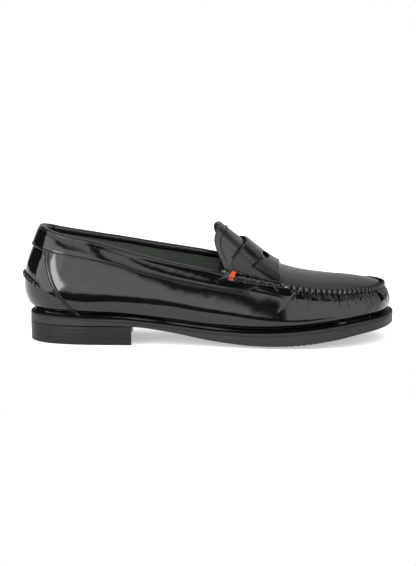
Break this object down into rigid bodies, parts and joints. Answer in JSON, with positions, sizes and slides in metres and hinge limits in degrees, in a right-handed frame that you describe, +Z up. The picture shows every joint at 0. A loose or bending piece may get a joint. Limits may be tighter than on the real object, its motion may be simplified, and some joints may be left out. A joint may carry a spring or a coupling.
{
  "type": "penny loafer",
  "caption": "Right-foot slip-on moccasin-toe loafer in polished black leather, with a slotted saddle strap, beef-roll seams, low block heel and leather sole.",
  "frame": {"origin": "on the ground, under the middle of the shoe's bounding box", "axes": "+X from heel to toe, +Y to the inner (medial) side of the right shoe, +Z up"},
  "size_m": [0.3032, 0.1063, 0.0961],
  "materials": {
    "black_leather": "high-shine brushed-off leather",
    "binding_leather": "semi-gloss",
    "lining_leather": "matt",
    "lining_textile": "napped cloth",
    "sole_leather": "matt edge ink",
    "welt_leather": "semi-matt",
    "heel_stack": "matt edge ink",
    "heel_rubber": "matt",
    "insole_board": "matt",
    "cork": "matt",
    "shank_steel": "plain",
    "nail_brass": "plain",
    "pad_foam": "soft foam",
    "stiffener": "stiff impregnated cloth",
    "interlining_cloth": "cotton cloth",
    "black_thread": "waxed",
    "orange_thread": "waxed"
  },
  "bodies": {
    "root": {"outsole": "sole_leather", "welt": "welt_leather", "insole": "insole_board", "cork_filler": "cork", "heel_seat_filler": "cork", "shank": "shank_steel", "heel_lift_1": "heel_stack", "heel_lift_2": "heel_stack", "heel_lift_3": "heel_stack", "heel_top_piece": "heel_rubber", "heel_nails": "nail_brass", "heel_pad": "pad_foam", "sock_lining": "lining_leather", "vamp": "black_leather", "counter_cover": "black_leather", "collar_band": "black_leather", "topline_binding": "binding_leather", "apron": "black_leather", "saddle_strap": "black_leather", "beef_roll_lateral": "black_leather", "beef_roll_medial": "black_leather", "heel_kicker": "black_leather", "toe_puff": "stiffener", "heel_counter": "stiffener", "interlining_lateral": "interlining_cloth", "interlining_medial": "interlining_cloth", "quarter_lining_lateral": "lining_textile", "quarter_lining_medial": "lining_textile", "vamp_lining": "lining_leather", "apron_lining": "lining_leather", "apron_stitches": "black_thread", "beef_roll_stitches": "black_thread", "contrast_stitch": "orange_thread", "collar_stitches": "black_thread", "counter_stitches": "black_thread", "tongue_stitches": "black_thread", "kicker_stitches": "black_thread", "sole_stitches": "black_thread"}
  },
  "joints": []
}
